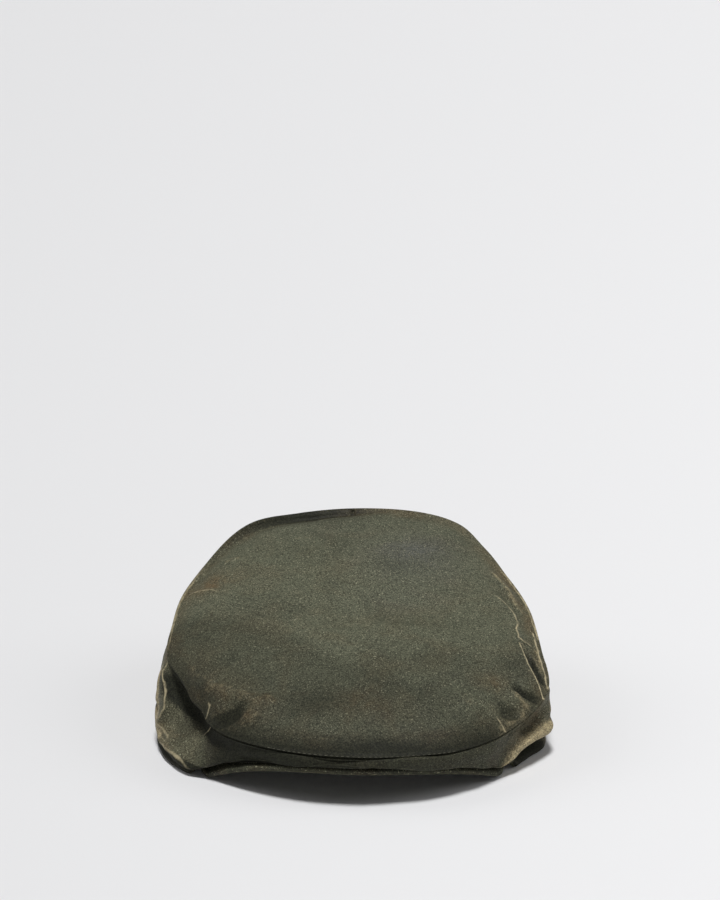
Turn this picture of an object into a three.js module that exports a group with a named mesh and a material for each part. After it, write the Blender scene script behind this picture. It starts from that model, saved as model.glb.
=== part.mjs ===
// A waxed cotton flat cap that stands on a table by itself, in millimetres: +Z is up, the peak points to -Y,
// and +X is to the right of someone who faces the peak. The origin is on the table, in the middle of the cap.
//
// The cap is sewn from a round top panel, two side panels that meet at the back and front of the head, and a
// stiff peak. The side panels hang from the seam round the top, roll over low down and run back in to the hem
// round the head opening. In front they lie on the peak instead of on the table.
import * as THREE from "three";

// Driving dimensions
const capCentre = { x: 0, y: 3 }; // what every azimuth is measured round
const topCloth = 1.7; // waxed cotton with its lining
const sideCloth = 1.4;
const pieceGap = 0.35;
const panelGapAngle = 0.09; // degrees kept clear at each end of a side panel, about 0.2 mm
const seamLip = { drop: 2.6, inset: 1.6, round: 0.3 }; // how the top's edge turns down to the seam
const headOpening = { halfLength: 103, halfWidth: 85, centreY: 12, turnUp: 10, foot: 4 };
const peak = {
  middleAt: 178.6, // the azimuth of the tip: the peak sits turned a little to the left
  tipY: -134.5,
  curve: 0.00568, // how fast the front edge sweeps back, mm of y for each mm2 of x
  cornerAngle: 41, // degrees either side of the tip where the edge turns back
  endAngle: 60,
  endRadius: 97,
  cornerEase: 1.5,
  thickness: 3.6,
  archHeight: 19.6,
  archHalfWidth: 87,
  archPower: 2.2,
  rise: 0.13, // how much higher it stands for each mm further back
  lean: 0.035, // how much lower it stands for each mm to the right
  insideHem: 4.5, // how far outside the head opening it starts
};

// The seam round the top and the walls under it. at is the azimuth in degrees from the back of the cap, through
// its left side (-X) at 90 and the peak at 180; r is measured level from the centre and z up from the table.
// swell pushes the wall's middle out (or in, below 0); crest is the low fold's widest line, tuck how far the
// cloth goes in under it, and foot where the roll comes down.
const stations = [
  { at: 0, seamR: 133, seamZ: 97, swell: 2, crestR: 128, crestZ: 24, tuck: 1, footR: 121 },
  { at: 17, seamR: 132, seamZ: 95.6, swell: 2, crestR: 127, crestZ: 23, tuck: 1, footR: 120 },
  { at: 33, seamR: 129.5, seamZ: 93.5, swell: 2, crestR: 123, crestZ: 20, tuck: 1, footR: 116 },
  { at: 53, seamR: 122, seamZ: 77, swell: 2, crestR: 117, crestZ: 19, tuck: 1, footR: 110 },
  { at: 64, seamR: 119.5, seamZ: 69, swell: 1, crestR: 116, crestZ: 18, tuck: 1, footR: 109 },
  { at: 84, seamR: 114.5, seamZ: 60, swell: 2, crestR: 118, crestZ: 17, tuck: 2, footR: 113 },
  { at: 98, seamR: 116.8, seamZ: 53.5, swell: 2, crestR: 125, crestZ: 15, tuck: 4, footR: 121 },
  { at: 107, seamR: 118.3, seamZ: 50, swell: 2, crestR: 127.6, crestZ: 10.5, tuck: 2, footR: 127 },
  { at: 114, seamR: 117.3, seamZ: 47.7, swell: -4, crestR: 129.8, crestZ: 8.4, tuck: 1, footR: 130 },
  { at: 121, seamR: 118.5, seamZ: 45, swell: -12, crestR: 131.8, crestZ: 8.2, tuck: 1, footR: 132.8 },
  { at: 127, seamR: 121.5, seamZ: 41, swell: -12, crestR: 133.8, crestZ: 6.6, tuck: 0.6, footR: 133.4 },
  { at: 132.5, seamR: 122.6, seamZ: 38, swell: -8, crestR: 134.2, crestZ: 5.4, tuck: 0.8, footR: 132.6 },
  { at: 137, seamR: 127.4, seamZ: 35.2, swell: -3, crestR: 130.6, crestZ: 8, tuck: 1.2, footR: 127 },
  { at: 143, seamR: 130.5, seamZ: 32.7, swell: 0, crestR: 130, crestZ: 13.5, tuck: 0.8, footR: 127.3 },
  { at: 155, seamR: 132.2, seamZ: 31, swell: 1, crestR: 132.5, crestZ: 21, tuck: 0.5, footR: 131 },
  { at: 180, seamR: 136.3, seamZ: 30.4, swell: 0.3, crestR: 137.5, crestZ: 26.8, tuck: 0.5, footR: 136.2 },
  { at: 205, seamR: 134.5, seamZ: 28, swell: 1, crestR: 132.5, crestZ: 19.3, tuck: 0.5, footR: 131 },
  { at: 218, seamR: 131.7, seamZ: 28.6, swell: 1, crestR: 129.7, crestZ: 10, tuck: 0.5, footR: 126.5 },
  { at: 222, seamR: 130.7, seamZ: 29.7, swell: -0.5, crestR: 129.4, crestZ: 6.8, tuck: 1, footR: 125.8 },
  { at: 226, seamR: 130.3, seamZ: 31, swell: -1.5, crestR: 129.2, crestZ: 10, tuck: 3, footR: 125.2 },
  { at: 230, seamR: 130, seamZ: 32.6, swell: -3.5, crestR: 129, crestZ: 15, tuck: 5, footR: 124.6 },
  { at: 235, seamR: 130, seamZ: 35.4, swell: -5, crestR: 129.4, crestZ: 17.6, tuck: 7, footR: 123.6 },
  { at: 240, seamR: 130, seamZ: 38, swell: -5, crestR: 129.4, crestZ: 18.4, tuck: 7, footR: 123.4 },
  { at: 247, seamR: 127, seamZ: 42.5, swell: -1, crestR: 129.6, crestZ: 18, tuck: 6, footR: 125 },
  { at: 260, seamR: 116, seamZ: 53, swell: 1, crestR: 121, crestZ: 17, tuck: 3, footR: 118 },
  { at: 275, seamR: 111.6, seamZ: 62, swell: 1.5, crestR: 115, crestZ: 18, tuck: 1, footR: 110 },
  { at: 300, seamR: 113.6, seamZ: 73.5, swell: 1, crestR: 112, crestZ: 18, tuck: 1, footR: 106 },
  { at: 316, seamR: 121.8, seamZ: 83.7, swell: 2, crestR: 117, crestZ: 20, tuck: 1, footR: 110 },
  { at: 327, seamR: 128, seamZ: 93.2, swell: 2, crestR: 121.5, crestZ: 21, tuck: 1, footR: 114 },
  { at: 340, seamR: 131, seamZ: 97, swell: 2, crestR: 125, crestZ: 23, tuck: 1, footR: 118 },
];

// Where the top panel isn't a plain dome. A fold runs on the plan from (x1, y1) to (x2, y2), stands height above
// the cloth round it (a dent is below 0) and dies out at its half width to either side.
const topFolds = [
  { name: "right rear crease", x1: 80, y1: 51, x2: 99, y2: 0, halfWidth: 12, height: 2.4 },
  { name: "right front crease", x1: 99, y1: -18, x2: 112, y2: -66, halfWidth: 11, height: 3.4 },
  { name: "right front trough", x1: 104, y1: -8, x2: 112, y2: -46, halfWidth: 7, height: -2.6 },
  { name: "right corner dent", x1: 92, y1: -66, x2: 100, y2: -76, halfWidth: 9, height: -3 },
  { name: "left edge crease", x1: -109, y1: 38, x2: -90, y2: 32, halfWidth: 9, height: 1.8 },
  { name: "left edge roll", x1: -104, y1: -22, x2: -92, y2: -66, halfWidth: 13, height: 3 },
  { name: "left corner dent", x1: -82, y1: -84, x2: -72, y2: -80, halfWidth: 11, height: -3 },
  { name: "left corner swell", x1: -68, y1: -78, x2: -52, y2: -90, halfWidth: 14, height: 2.4 },
  { name: "front crest", x1: -30, y1: -106, x2: 40, y2: -108, halfWidth: 20, height: 2.4 },
  { name: "right front crest", x1: 40, y1: -108, x2: 80, y2: -80, halfWidth: 18, height: 2.4 },
];
const topDome = { height: 11, power: 2.2 }; // how far the middle stands above a flat panel, and how evenly
const rimDip = { at: 0.87, width: 0.085, depth: 3, fromY: -20, toY: 70 }; // the trough just inside the seam behind
const rimEase = 5; // how late the panel leaves its plane to meet the seam
const foldEase = 14; // how late the folds die out before the seam

// A side panel's wall between the seam and the crest of the low fold: the share of the way down, and of the swell.
const wallRows = [
  { down: 0.12, swell: 0.3 },
  { down: 0.42, swell: 1 },
  { down: 0.75, swell: 0.65 },
];
// Its underside between the foot and the hem: the share of the way in, and how far it arches off what it lies on.
const underRows = [
  { inward: 0.2, arch: 0.8 },
  { inward: 0.55, arch: 1.5 },
];
const roll = { tuckDown: 0.6, footHeight: 2.6, footShare: 0.45, heel: 2.5 }; // the low fold's foot
const hemEdge = { rise: 2.2, lip: 1, step: 4, arch: 0.4 }; // how the hem turns up

// The cloth where it lies on the peak: its clearance, how it falls past the edge, and where it comes down again.
const overPeak = { clearance: 0.6, fall: 2, beyond: 2, aheadMost: 3, aheadLeast: -2, aheadPer: 15 };
const peakToTable = { from: 3, to: 30 }; // degrees past the peak's end

// How finely each piece is faceted
const stepsRound = 84;
const topRings = [0.2, 0.38, 0.53, 0.66, 0.77, 0.85, 0.91, 0.955];
const peakSteps = { along: 36, across: 5 };

const radians = THREE.MathUtils.degToRad;
const mix = THREE.MathUtils.lerp;
const clamp = THREE.MathUtils.clamp;

// The point at azimuth at (degrees), r from the centre and z up.
function polar(at, r, z) {
  const a = radians(at);
  return new THREE.Vector3(capCentre.x - r * Math.sin(a), capCentre.y + r * Math.cos(a), z);
}

// The value of a column of the stations table at any azimuth, on a smooth closed curve.
function column(name, at) {
  const n = stations.length;
  const turn = ((at % 360) + 360) % 360;
  let i = stations.findLastIndex((s) => s.at <= turn);
  const row = (k) => {
    const s = stations[((k % n) + n) % n];
    return { at: s.at + 360 * Math.floor(k / n), value: s[name] };
  };
  const [a, b, c, d] = [row(i - 1), row(i), row(i + 1), row(i + 2)];
  const slopeB = (c.value - a.value) / (c.at - a.at);
  const slopeC = (d.value - b.value) / (d.at - b.at);
  return hermite(b.value, c.value, slopeB, slopeC, c.at - b.at, (turn - b.at) / (c.at - b.at));
}

// A cubic from p to q with the given slopes over a span, at t from 0 to 1.
function hermite(p, q, slopeP, slopeQ, span, t) {
  const t2 = t * t;
  const t3 = t2 * t;
  const ease = 3 * t2 - 2 * t3;
  return p * (1 - ease) + q * ease + span * (slopeP * (t3 - 2 * t2 + t) + slopeQ * (t3 - t2));
}

// How far the head opening's edge is from the centre at an azimuth.
function hemRadius(at) {
  const a = radians(at);
  const [dx, dy] = [-Math.sin(a) / headOpening.halfWidth, Math.cos(a) / headOpening.halfLength];
  const offset = (capCentre.y - headOpening.centreY) / headOpening.halfLength;
  const [p, q, s] = [dx * dx + dy * dy, dy * offset, offset * offset - 1];
  return (-q + Math.sqrt(q * q - p * s)) / p;
}

// The peak's outline and its underside.
function peakRadius(at) {
  const off = Math.abs(at - peak.middleAt);
  const front = (angle) => {
    const a = radians(angle);
    const [q, c] = [Math.cos(a), capCentre.y - peak.tipY];
    const k = peak.curve * Math.sin(a) ** 2;
    return k < 1e-9 ? c / q : (-q + Math.sqrt(q * q + 4 * k * c)) / (2 * k);
  };
  if (off <= peak.cornerAngle) return front(off);
  const t = clamp((off - peak.cornerAngle) / (peak.endAngle - peak.cornerAngle), 0, 1);
  return mix(front(peak.cornerAngle), peak.endRadius, t ** peak.cornerEase);
}
function peakUnderside(x, y) {
  const arch = 1 - Math.min(1, Math.abs(x / peak.archHalfWidth)) ** peak.archPower;
  return (peak.archHeight + peak.rise * (y - peak.tipY) - peak.lean * x) * arch;
}

// The lowest that cloth can lie at a point: on the peak's top, on the slope just outside its edge, or on the table.
// Near the ends of the peak it is kept clear of the part that is a few degrees further forward, which is higher.
function restingHeight(at, r) {
  const past = Math.abs(at - peak.middleAt) - peak.endAngle;
  const fade = 1 - THREE.MathUtils.smoothstep(past, peakToTable.from, peakToTable.to);
  if (fade <= 0) return 0;
  const lead = clamp((peak.middleAt - at) / overPeak.aheadPer, overPeak.aheadLeast, overPeak.aheadMost);
  const ahead = clamp(at + lead, peak.middleAt - peak.endAngle, peak.middleAt + peak.endAngle);
  const edge = peakRadius(ahead);
  const p = polar(ahead, Math.min(r, edge), 0);
  const onTop = peakUnderside(p.x, p.y) + peak.thickness + overPeak.clearance;
  return Math.max(0, onTop * fade - overPeak.fall * Math.max(0, r - edge - overPeak.beyond));
}

// The top panel's height over the plan, at a share (0 to 1) of the way from the centre out to the seam.
function topHeight(at, share) {
  const seamR = column("seamR", at) - seamLip.inset;
  const p = polar(at, seamR * share, 0);
  const edge = polar(at, seamR, 0);
  let z = topPlane(p.y) + topDome.height * (1 - share ** topDome.power);
  z += (column("seamZ", at) + seamLip.drop - topPlane(edge.y)) * share ** rimEase;
  const behind = THREE.MathUtils.smoothstep(p.y, rimDip.fromY, rimDip.toY);
  z -= rimDip.depth * behind * Math.exp(-(((share - rimDip.at) / rimDip.width) ** 2));
  for (const fold of topFolds) z += foldHeight(fold, p.x, p.y) * (1 - share ** foldEase);
  return z;
}

// The sloping plane through the front and back of the seam.
function topPlane(y) {
  const [back, front] = [stations[0], stations.find((s) => s.at === 180)];
  const share = (y - capCentre.y + front.seamR) / (front.seamR + back.seamR);
  return mix(front.seamZ, back.seamZ, share) + seamLip.drop;
}

// What one fold adds at a point of the plan: a rounded ridge that dies away past its ends.
function foldHeight(fold, x, y) {
  const along = new THREE.Vector2(fold.x2 - fold.x1, fold.y2 - fold.y1);
  const length = along.length();
  along.divideScalar(length);
  const from = new THREE.Vector2(x - fold.x1, y - fold.y1);
  const t = from.dot(along);
  const past = Math.max(0, -t, t - length);
  const aside = Math.abs(from.cross(along));
  const distance = Math.hypot(aside, past) / fold.halfWidth;
  return distance >= 1 ? 0 : fold.height * (0.5 + 0.5 * Math.cos(Math.PI * distance));
}

// A side panel's section at an azimuth, from the seam down, round the low roll and in to the turned-up hem.
function sideSection(at) {
  const [seamR, seamZ] = [column("seamR", at), column("seamZ", at) - pieceGap];
  const [crestR, crestZ] = [column("crestR", at), column("crestZ", at)];
  const [footR, swell] = [column("footR", at), column("swell", at)];
  const hemR = hemRadius(at);
  const stepR = hemR + headOpening.foot;
  const [heelZ, hemZ] = [restingHeight(at, footR - roll.heel), restingHeight(at, stepR)];
  const footZ = heelZ + Math.min(roll.footHeight, roll.footShare * (crestZ - heelZ));
  const wall = wallRows.map(({ down, swell: share }) => [
    mix(seamR, crestR, down) + share * swell,
    mix(seamZ, crestZ, down),
  ]);
  const under = underRows.map(({ inward, arch }) => {
    const r = mix(footR, hemR, inward);
    return [r, Math.max(mix(heelZ, hemZ, inward) + arch, restingHeight(at, r))];
  });
  return [
    [seamR, seamZ],
    ...wall,
    [crestR, crestZ],
    [Math.min(crestR, footR) - column("tuck", at), mix(crestZ, footZ, roll.tuckDown)],
    [footR, footZ],
    [footR - roll.heel, heelZ],
    ...under,
    [stepR + hemEdge.step, Math.max(hemZ + hemEdge.arch, restingHeight(at, stepR + hemEdge.step))],
    [stepR, hemZ],
    [hemR + hemEdge.lip, hemZ],
    [hemR, hemZ + hemEdge.rise],
    [hemR, hemZ + headOpening.turnUp],
  ].map(([r, z]) => polar(at, r, z));
}

// A closed wall of even thickness behind a grid of outer points, rows[i][j]. Where round is true the first row
// follows the last; a pole is one point that closes the grid's near end. The cloth is cut level in column levelAt.
function wall(rows, thickness, { round = false, pole = null, levelAt = 0 } = {}) {
  const straightDown = new THREE.Vector3(0, 0, -1);
  const n = rows.length;
  const m = rows[0].length;
  const at = (i, j) => rows[round ? (i + n) % n : clamp(i, 0, n - 1)][clamp(j, 0, m - 1)];
  const outer = [];
  const inner = [];
  for (let i = 0; i < n; i++)
    for (let j = 0; j < m; j++) {
      const along = new THREE.Vector3().subVectors(at(i + 1, j), at(i - 1, j));
      const before = j === 0 && pole ? pole : at(i, j - 1);
      const down = new THREE.Vector3().subVectors(at(i, j + 1), before);
      const normal = (j === levelAt ? straightDown.clone() : down).cross(along).normalize();
      outer.push(at(i, j));
      inner.push(at(i, j).clone().addScaledVector(normal, -thickness));
    }
  const points = [...outer, ...inner];
  const inside = outer.length;
  const index = (i, j) => ((i + n) % n) * m + j;
  const faces = [];
  const quad = (a, b, c, d) => faces.push(a, c, b, a, d, c);
  const lastRow = round ? n : n - 1;
  for (let i = 0; i < lastRow; i++)
    for (let j = 0; j < m - 1; j++) {
      const [a, b, c, d] = [index(i, j), index(i + 1, j), index(i + 1, j + 1), index(i, j + 1)];
      quad(a, b, c, d);
      quad(inside + d, inside + c, inside + b, inside + a);
    }
  for (let i = 0; i < lastRow; i++) {
    const [a, b] = [index(i, m - 1), index(i + 1, m - 1)];
    quad(a, b, inside + b, inside + a);
    if (!pole) {
      const [c, d] = [index(i + 1, 0), index(i, 0)];
      quad(c, d, inside + d, inside + c);
    }
  }
  if (!round)
    for (let j = 0; j < m - 1; j++) {
      const [a, b] = [index(0, j), index(0, j + 1)];
      const [c, d] = [index(n - 1, j + 1), index(n - 1, j)];
      quad(a, b, inside + b, inside + a);
      quad(c, d, inside + d, inside + c);
    }
  if (pole) {
    points.push(pole, pole.clone().add(new THREE.Vector3(0, 0, -thickness)));
    const [top, bottom] = [points.length - 2, points.length - 1];
    for (let i = 0; i < n; i++) {
      faces.push(top, index(i, 0), index(i + 1, 0));
      faces.push(bottom, inside + index(i + 1, 0), inside + index(i, 0));
    }
  }
  return closed(points, faces);
}

function closed(points, faces) {
  const geometry = new THREE.BufferGeometry().setFromPoints(points);
  geometry.setIndex(faces);
  geometry.computeVertexNormals();
  return geometry;
}

// Values from one to another in even steps, both ends included.
function evenly(from, to, steps) {
  return Array.from({ length: steps + 1 }, (_, i) => mix(from, to, i / steps));
}

function topPanel() {
  const rows = evenly(0, 360, stepsRound).slice(0, -1).map((at) => {
    const [seamR, seamZ] = [column("seamR", at), column("seamZ", at)];
    const rimR = seamR - seamLip.inset;
    return [
      ...topRings.map((share) => polar(at, rimR * share, topHeight(at, share))),
      polar(at, rimR, seamZ + seamLip.drop),
      polar(at, seamR - seamLip.round, seamZ + seamLip.drop / 2),
      polar(at, seamR, seamZ),
    ];
  });
  const levelAt = rows[0].length - 1;
  return wall(rows, topCloth, { round: true, pole: polar(0, 0, topHeight(0, 0)), levelAt });
}

function sidePanel(from, to) {
  const inside = (at) => clamp(at, from + panelGapAngle, to - panelGapAngle);
  const rows = evenly(from, to, stepsRound / 2).map((at) => sideSection(inside(at)));
  return wall(rows, sideCloth);
}

function peakPlate() {
  const [first, last] = [peak.middleAt - peak.endAngle, peak.middleAt + peak.endAngle];
  const rows = evenly(first, last, peakSteps.along).map((at) => {
    const inner = hemRadius(at) + peak.insideHem;
    return evenly(inner, peakRadius(at), peakSteps.across).map((r) => {
      const p = polar(at, r, 0);
      return p.setZ(peakUnderside(p.x, p.y) + peak.thickness);
    });
  });
  return plate(rows, (p) => peakUnderside(p.x, p.y));
}

// A closed plate between a grid of top points and the same grid at another height.
function plate(rows, bottomHeight) {
  const n = rows.length;
  const m = rows[0].length;
  const upper = rows.flat();
  const lower = upper.map((p) => new THREE.Vector3(p.x, p.y, bottomHeight(p)));
  const faces = [];
  const quad = (a, b, c, d) => faces.push(a, b, c, a, c, d);
  const [index, under] = [(i, j) => i * m + j, upper.length];
  for (let i = 0; i < n - 1; i++)
    for (let j = 0; j < m - 1; j++) {
      const [a, b, c, d] = [index(i, j), index(i, j + 1), index(i + 1, j + 1), index(i + 1, j)];
      quad(a, b, c, d);
      quad(under + d, under + c, under + b, under + a);
    }
  for (let i = 0; i < n - 1; i++)
    for (const [a, b] of [
      [index(i + 1, 0), index(i, 0)],
      [index(i, m - 1), index(i + 1, m - 1)],
    ])
      quad(b, a, under + a, under + b);
  for (let j = 0; j < m - 1; j++)
    for (const [a, b] of [
      [index(0, j), index(0, j + 1)],
      [index(n - 1, j + 1), index(n - 1, j)],
    ])
      quad(b, a, under + a, under + b);
  return closed([...upper, ...lower], faces);
}

function cloth(colour, roughness) {
  return new THREE.MeshStandardMaterial({ color: colour, roughness, metalness: 0 });
}

function piece(name, geometry, material) {
  const mesh = new THREE.Mesh(geometry, material);
  mesh.name = name;
  return mesh;
}

const waxedCotton = cloth(0x3d3f33, 0.72);
const peakCotton = cloth(0x34382b, 0.75);
const cap = new THREE.Group();
cap.add(
  piece("top_panel", topPanel(), waxedCotton),
  piece("side_panel_left", sidePanel(0, 180), waxedCotton),
  piece("side_panel_right", sidePanel(180, 360), waxedCotton),
  piece("peak", peakPlate(), peakCotton),
);

// The tables above are measured from near the middle: this puts the origin exactly there.
const extent = new THREE.Box3().setFromObject(cap, true);
const middle = extent.getCenter(new THREE.Vector3());
cap.position.set(-middle.x, -middle.y, -extent.min.z);

export default cap;
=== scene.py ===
# A waxed cotton flat cap on a pale table: cloth panels with their folds and wear, a stiff peak, seams
# and stitches. Shapes are worked out in millimetres from the middle of the head and written in metres.
import math
import bpy
import numpy as np
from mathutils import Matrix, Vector


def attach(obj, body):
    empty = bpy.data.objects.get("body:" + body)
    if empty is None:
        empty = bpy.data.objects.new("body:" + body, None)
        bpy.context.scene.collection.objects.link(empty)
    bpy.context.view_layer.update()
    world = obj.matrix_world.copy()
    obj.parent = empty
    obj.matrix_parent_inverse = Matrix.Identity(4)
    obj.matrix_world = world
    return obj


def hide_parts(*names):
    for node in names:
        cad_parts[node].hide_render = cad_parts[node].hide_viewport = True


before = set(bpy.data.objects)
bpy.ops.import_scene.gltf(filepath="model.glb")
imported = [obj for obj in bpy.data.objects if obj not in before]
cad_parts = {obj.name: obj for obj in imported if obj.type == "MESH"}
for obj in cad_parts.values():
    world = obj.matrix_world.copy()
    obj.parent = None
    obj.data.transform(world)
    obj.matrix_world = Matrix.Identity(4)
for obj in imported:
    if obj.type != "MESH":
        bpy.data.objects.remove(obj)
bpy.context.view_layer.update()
print("solids loaded")

mm = 0.001

cap = {
    "centreY": 3.0,  # what every azimuth is measured round
    "shift": (1.738, -0.751),  # from these millimetres to the frame's origin
    "lipDrop": (0.8, 2.2),  # in front and behind
    "lipInset": (0.5, 1.4),
    "seamGap": 0.35,
    "planeRise": 2.0,
    "domeHeight": 11.0,
    "domePower": 2.2,
    "rimEase": 5.0,
    "topThickness": 1.5,
    "sideThickness": 1.3,
}

headHole = {"halfLength": 103.0, "halfWidth": 85.0, "centreY": 12.0, "turnUp": 10.0, "foot": 4.0}

peakForm = {
    "middle": 178.6,
    "tipY": -134.5,
    "curve": 0.00568,
    "cornerAngle": 41.0,
    "endAngle": 60.0,
    "endRadius": 97.0,
    "cornerEase": 1.5,
    "thickness": 3.6,
    "archHeight": 19.6,
    "archHalfWidth": 87.0,
    "archPower": 2.2,
    "rise": 0.13,
    "lean": 0.035,
    "insideHem": 4.5,
}

# how the cloth lies on the peak
drape = {
    "gap": 0.6,
    "level": 2.0,  # how far past the peak's edge it stays level
    "fall": 2.0,  # how steeply it falls after that
    "ends": (3.0, 30.0),  # degrees past the peak's ends over which it comes down to the table
    "lead": (-2.0, 3.0),  # how many degrees nearer its middle the peak is met, on the right and the left
    "leadEase": 15.0,
}

# azimuth from the back through the left side (-X) at 90 to the peak at 180, and what the cloth does there
stationColumns = ("at", "seamR", "seamZ", "swell", "crestR", "crestZ", "tuck", "footR")
stations = np.array([
    (0, 133, 97.0, 2, 128, 24, 1, 121),
    (17, 132, 95.6, 2, 127, 23, 1, 120),
    (33, 129.5, 93.5, 2, 123, 20, 1, 116),
    (53, 122, 77, 2, 117, 19, 1, 110),
    (64, 119.5, 69, 1, 116, 18, 1, 109),
    (84, 114.5, 60, 2, 118, 17, 2, 113),
    (98, 116.8, 53.5, 2, 125, 15, 4, 121),
    (107, 118.3, 50, 2, 127.6, 10.5, 2, 127),
    (114, 117.3, 47.7, -4, 129.8, 8.4, 1, 130),
    (121, 118.5, 45, -12, 131.8, 8.2, 1, 132.8),
    (127, 121.5, 41, -12, 133.8, 6.6, 0.6, 133.4),
    (132.5, 122.6, 38.0, -8, 134.2, 5.4, 0.8, 132.6),
    (137, 127.4, 35.2, -3, 130.6, 8, 1.2, 127),
    (143, 130.5, 32.7, 0, 130, 13.5, 0.8, 127.3),
    (155, 132.2, 31, 1, 132.5, 21, 0.5, 131),
    (180, 136.3, 30.4, 0.3, 139.0, 25.0, 1.0, 136.0),
    (195, 135.2, 29.0, 0.7, 135.0, 22.6, 1.0, 131.4),
    (205, 134.5, 28, 1, 133.8, 18.6, 1.0, 130.4),
    (218, 131.7, 28.6, 1, 130.2, 9.6, 0.8, 126.2),
    (222, 130.7, 29.7, -0.5, 129.4, 6.8, 1, 125.8),
    (226, 130.3, 31, -1.5, 129.2, 10, 3, 125.2),
    (230, 130, 32.6, -3.5, 129.0, 15, 5, 124.6),
    (235, 130, 35.4, -5, 129.4, 16.8, 7, 123.6),
    (240, 130, 38, -5, 129.4, 16.5, 7, 123.4),
    (247, 127, 42.5, -1, 129.4, 15.8, 6, 125),
    (260, 116, 53, 1, 121, 17, 3, 118),
    (275, 111.6, 62, 1.5, 115, 18, 1, 110),
    (300, 113.6, 73.5, 1, 112, 18, 1, 106),
    (316, 121.8, 83.7, 2, 117, 20, 1, 110),
    (327, 128.0, 93.2, 2, 121.5, 21, 1, 114),
    (340, 131.0, 97.0, 2, 125, 23, 1, 118),
])


def column(name, at):
    # a column of the table on a smooth closed curve
    values = stations[:, stationColumns.index(name)]
    ats = stations[:, 0]
    count = len(ats)
    turn = np.mod(at, 360.0)
    i = np.searchsorted(ats, turn, side="right") - 1

    def row(k):
        return ats[k % count] + 360.0 * (k // count), values[k % count]

    (ta, a), (tb, b), (tc, c), (td, d) = row(i - 1), row(i), row(i + 1), row(i + 2)
    return hermite(b, c, (c - a) / (tc - ta), (d - b) / (td - tb), tc - tb, (turn - tb) / (tc - tb))


def hermite(p, q, slopeP, slopeQ, span, t):
    ease = t * t * (3 - 2 * t)
    return p * (1 - ease) + q * ease + span * (slopeP * t * (1 - t) ** 2 - slopeQ * t * t * (1 - t))


def smooth(low, high, value):
    t = np.clip((value - low) / (high - low), 0.0, 1.0)
    return t * t * (3 - 2 * t)


def tableAt(table, at, k=1):
    # column k of a small table, joined by straight lines
    return np.interp(at, table[:, 0], table[:, k])


def polar(at, r):
    a = np.radians(at)
    return -r * np.sin(a), cap["centreY"] + r * np.cos(a)


def pointsAt(at, r, z):
    x, y = polar(at, r)
    return np.stack([x, y, z], axis=-1)


def hemRadius(at):
    a = np.radians(at)
    dx = -np.sin(a) / headHole["halfWidth"]
    dy = np.cos(a) / headHole["halfLength"]
    offset = (cap["centreY"] - headHole["centreY"]) / headHole["halfLength"]
    p, q, s = dx * dx + dy * dy, dy * offset, offset * offset - 1
    return (-q + np.sqrt(q * q - p * s)) / p


def peakRadius(at):
    off = np.abs(at - peakForm["middle"])
    front = np.minimum(off, peakForm["cornerAngle"])
    q = np.cos(np.radians(front))
    c = cap["centreY"] - peakForm["tipY"]
    k = np.maximum(peakForm["curve"] * np.sin(np.radians(front)) ** 2, 1e-9)
    edge = (-q + np.sqrt(q * q + 4 * k * c)) / (2 * k)
    t = np.clip((off - peakForm["cornerAngle"]) / (peakForm["endAngle"] - peakForm["cornerAngle"]), 0, 1)
    t = t ** peakForm["cornerEase"]
    return edge * (1 - t) + peakForm["endRadius"] * t


def peakUnder(x, y):
    arch = 1 - np.minimum(1, np.abs(x / peakForm["archHalfWidth"])) ** peakForm["archPower"]
    height = peakForm["archHeight"] + peakForm["rise"] * (y - peakForm["tipY"]) - peakForm["lean"] * x
    return height * arch


def restingHeight(at, r):
    # the lowest the cloth can lie: on the peak, on the slope past its edge, or on the table
    middle, endAngle = peakForm["middle"], peakForm["endAngle"]
    fade = 1 - smooth(*drape["ends"], np.abs(at - middle) - endAngle)
    lead = np.clip((middle - at) / drape["leadEase"], *drape["lead"])
    met = np.clip(at + lead, middle - endAngle, middle + endAngle)
    edge = peakRadius(met)
    x, y = polar(met, np.minimum(r, edge))
    onTop = peakUnder(x, y) + peakForm["thickness"] + drape["gap"]
    return np.maximum(0.0, onTop * fade - drape["fall"] * np.maximum(0.0, r - edge - drape["level"]))


def alongPath(path, stretch, x, y):
    # how far each place is from a path, how far off to its left, and how far along it, from 0 to 1
    points = np.array(path, float) * stretch
    steps = np.linalg.norm(np.diff(points, axis=0), axis=1)
    whole = steps.sum()
    nearest = np.full(x.shape, 1e9)
    side, along = np.zeros_like(x), np.zeros_like(x)
    start = 0.0
    for (ax, ay), (bx, by), length in zip(points[:-1], points[1:], steps):
        ux, uy = (bx - ax) / length, (by - ay) / length
        t = np.clip((x - ax) * ux + (y - ay) * uy, 0, length)
        away = np.hypot(x - ax - t * ux, y - ay - t * uy)
        closer = away < nearest
        nearest = np.where(closer, away, nearest)
        side = np.where(closer, ux * (y - ay) - uy * (x - ax), side)
        along = np.where(closer, (start + t) / whole, along)
        start += length
    return nearest, side, along


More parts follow.
